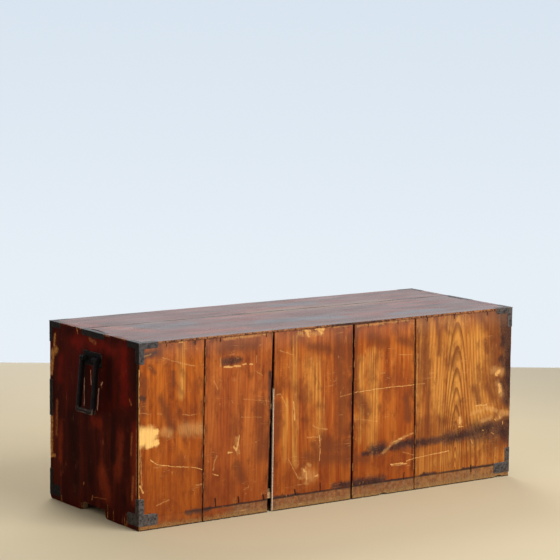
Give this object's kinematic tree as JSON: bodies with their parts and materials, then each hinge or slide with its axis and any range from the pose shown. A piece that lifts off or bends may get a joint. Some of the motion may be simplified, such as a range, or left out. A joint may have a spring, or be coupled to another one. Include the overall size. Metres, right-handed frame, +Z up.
{
  "type": "chest of drawers",
  "caption": "Low wooden chest with full-width drawers, a back of upright boards, forged iron corners, folding carrying handles on the sides and bail pulls on the drawers.",
  "frame": {"origin": "on the floor, under the middle of the bounding box", "axes": "+X along the width, to the right of someone facing the drawers; the drawers face -Y and the board back faces +Y; +Z up"},
  "size_m": [1.143, 0.421, 0.43],
  "materials": {
    "lacquered_top": "worn gloss lacquer",
    "lacquered_side": "worn gloss lacquer",
    "lacquered_front": "worn gloss lacquer",
    "back_wood": "worn satin oil",
    "raw_wood": "bare",
    "iron": "blackened, worn"
  },
  "bodies": {
    "case": {"top_board_front": "lacquered_top", "top_board_rear": "lacquered_top", "side_panel_right": "lacquered_side", "side_panel_left": "lacquered_side", "bottom_board_front": "raw_wood", "bottom_board_rear": "raw_wood", "shelf_board": "raw_wood", "middle_rail": "lacquered_front", "front_skirt": "lacquered_front", "back_board_1": "back_wood", "back_board_2": "back_wood", "back_board_3": "back_wood", "back_board_4": "back_wood", "back_board_5": "back_wood", "top_corner_back_right": "iron", "top_corner_back_left": "iron", "top_corner_front_right": "iron", "top_corner_front_left": "iron", "foot_corner_back_right": "iron", "foot_corner_back_left": "iron", "foot_corner_front_right": "iron", "foot_corner_front_left": "iron", "top_strap_right": "iron", "top_strap_left": "iron", "front_strap_right": "iron", "front_strap_left": "iron", "iron_nails": "iron", "back_nails": "iron", "handle_plate_right": "iron", "handle_posts_right": "iron", "handle_plate_left": "iron", "handle_posts_left": "iron"},
    "carry_handle_right": {"handle_bail_right": "iron"},
    "carry_handle_left": {"handle_bail_left": "iron"},
    "upper_drawer": {"upper_drawer_front": "lacquered_front", "upper_drawer_side_right": "raw_wood", "upper_drawer_side_left": "raw_wood", "upper_drawer_back": "raw_wood", "upper_drawer_bottom": "raw_wood", "upper_drawer_pegs": "raw_wood", "upper_pull_posts": "iron", "upper_pull_washers": "iron"},
    "upper_pull_right": {"upper_pull_right": "iron"},
    "upper_pull_left": {"upper_pull_left": "iron"},
    "lower_drawer": {"lower_drawer_front": "lacquered_front", "lower_drawer_side_right": "raw_wood", "lower_drawer_side_left": "raw_wood", "lower_drawer_back": "raw_wood", "lower_drawer_bottom": "raw_wood", "lower_drawer_pegs": "raw_wood", "lower_pull_posts": "iron", "lower_pull_washers": "iron"},
    "lower_pull_right": {"lower_pull_right": "iron"},
    "lower_pull_left": {"lower_pull_left": "iron"}
  },
  "joints": [
    {"name": "carry_handle_right_hinge", "type": "hinge", "parent": "case", "child": "carry_handle_right", "pos_m": [0.555, 0.0059, 0.366], "axis": [0, -1, 0], "range_deg": [-6.5, 175]},
    {"name": "carry_handle_left_hinge", "type": "hinge", "parent": "case", "child": "carry_handle_left", "pos_m": [-0.555, 0.0059, 0.366], "axis": [0, 1, 0], "range_deg": [-6.5, 175]},
    {"name": "upper_drawer_slide", "type": "slide", "parent": "case", "child": "upper_drawer", "axis": [0, -1, 0], "range_m": [0, 0.3]},
    {"name": "upper_pull_right_hinge", "type": "hinge", "parent": "upper_drawer", "child": "upper_pull_right", "pos_m": [0.285, -0.2051, 0.3459], "axis": [-1, 0, 0], "range_deg": [-5, 172]},
    {"name": "upper_pull_left_hinge", "type": "hinge", "parent": "upper_drawer", "child": "upper_pull_left", "pos_m": [-0.285, -0.2051, 0.3459], "axis": [-1, 0, 0], "range_deg": [-5, 172]},
    {"name": "lower_drawer_slide", "type": "slide", "parent": "case", "child": "lower_drawer", "axis": [0, -1, 0], "range_m": [0, 0.3]},
    {"name": "lower_pull_right_hinge", "type": "hinge", "parent": "lower_drawer", "child": "lower_pull_right", "pos_m": [0.285, -0.2051, 0.1529], "axis": [-1, 0, 0], "range_deg": [-5, 172]},
    {"name": "lower_pull_left_hinge", "type": "hinge", "parent": "lower_drawer", "child": "lower_pull_left", "pos_m": [-0.285, -0.2051, 0.1529], "axis": [-1, 0, 0], "range_deg": [-5, 172]}
  ]
}
